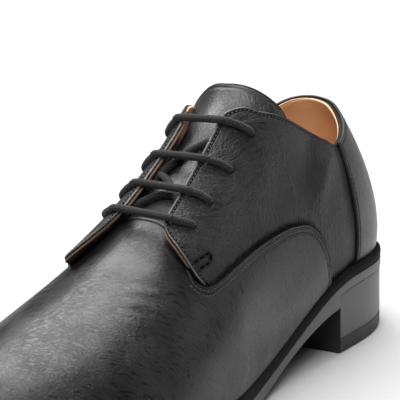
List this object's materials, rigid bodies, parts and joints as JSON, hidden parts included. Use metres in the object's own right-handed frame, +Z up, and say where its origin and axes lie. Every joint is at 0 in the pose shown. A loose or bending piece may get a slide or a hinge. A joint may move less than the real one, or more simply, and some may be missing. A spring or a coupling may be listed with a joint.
{
  "type": "lace-up shoe",
  "caption": "Black leather lace-up shoe with open lacing, a plain vamp with wings over the quarters, a counter, a welted sole and a low block heel.",
  "frame": {"origin": "on the floor, under the middle of the shoe's length and width", "axes": "+X to the toe, +Y to the outer side of the left foot, +Z up"},
  "size_m": [0.3012, 0.0994, 0.1242],
  "materials": {
    "upper_leather": "lightly grained black leather with a soft shine, tan lining",
    "vamp_leather": "lightly grained black leather, polished",
    "counter_leather": "lightly grained black leather with a soft shine",
    "tongue_leather": "soft black leather",
    "lace_cord": "round black waxed cotton",
    "insole_lining": "matte tan lining leather",
    "welt_strip": "matte black",
    "outsole_rubber": "satin dark grey edge",
    "heel_rubber": "satin dark grey",
    "top_piece_rubber": "matte black rubber"
  },
  "bodies": {
    "root": {"upper": "upper_leather", "vamp": "vamp_leather", "counter": "counter_leather", "tongue": "tongue_leather", "lace": "lace_cord", "insole": "insole_lining", "welt": "welt_strip", "outsole": "outsole_rubber", "heel_block": "heel_rubber", "heel_top_piece": "top_piece_rubber"}
  },
  "joints": []
}
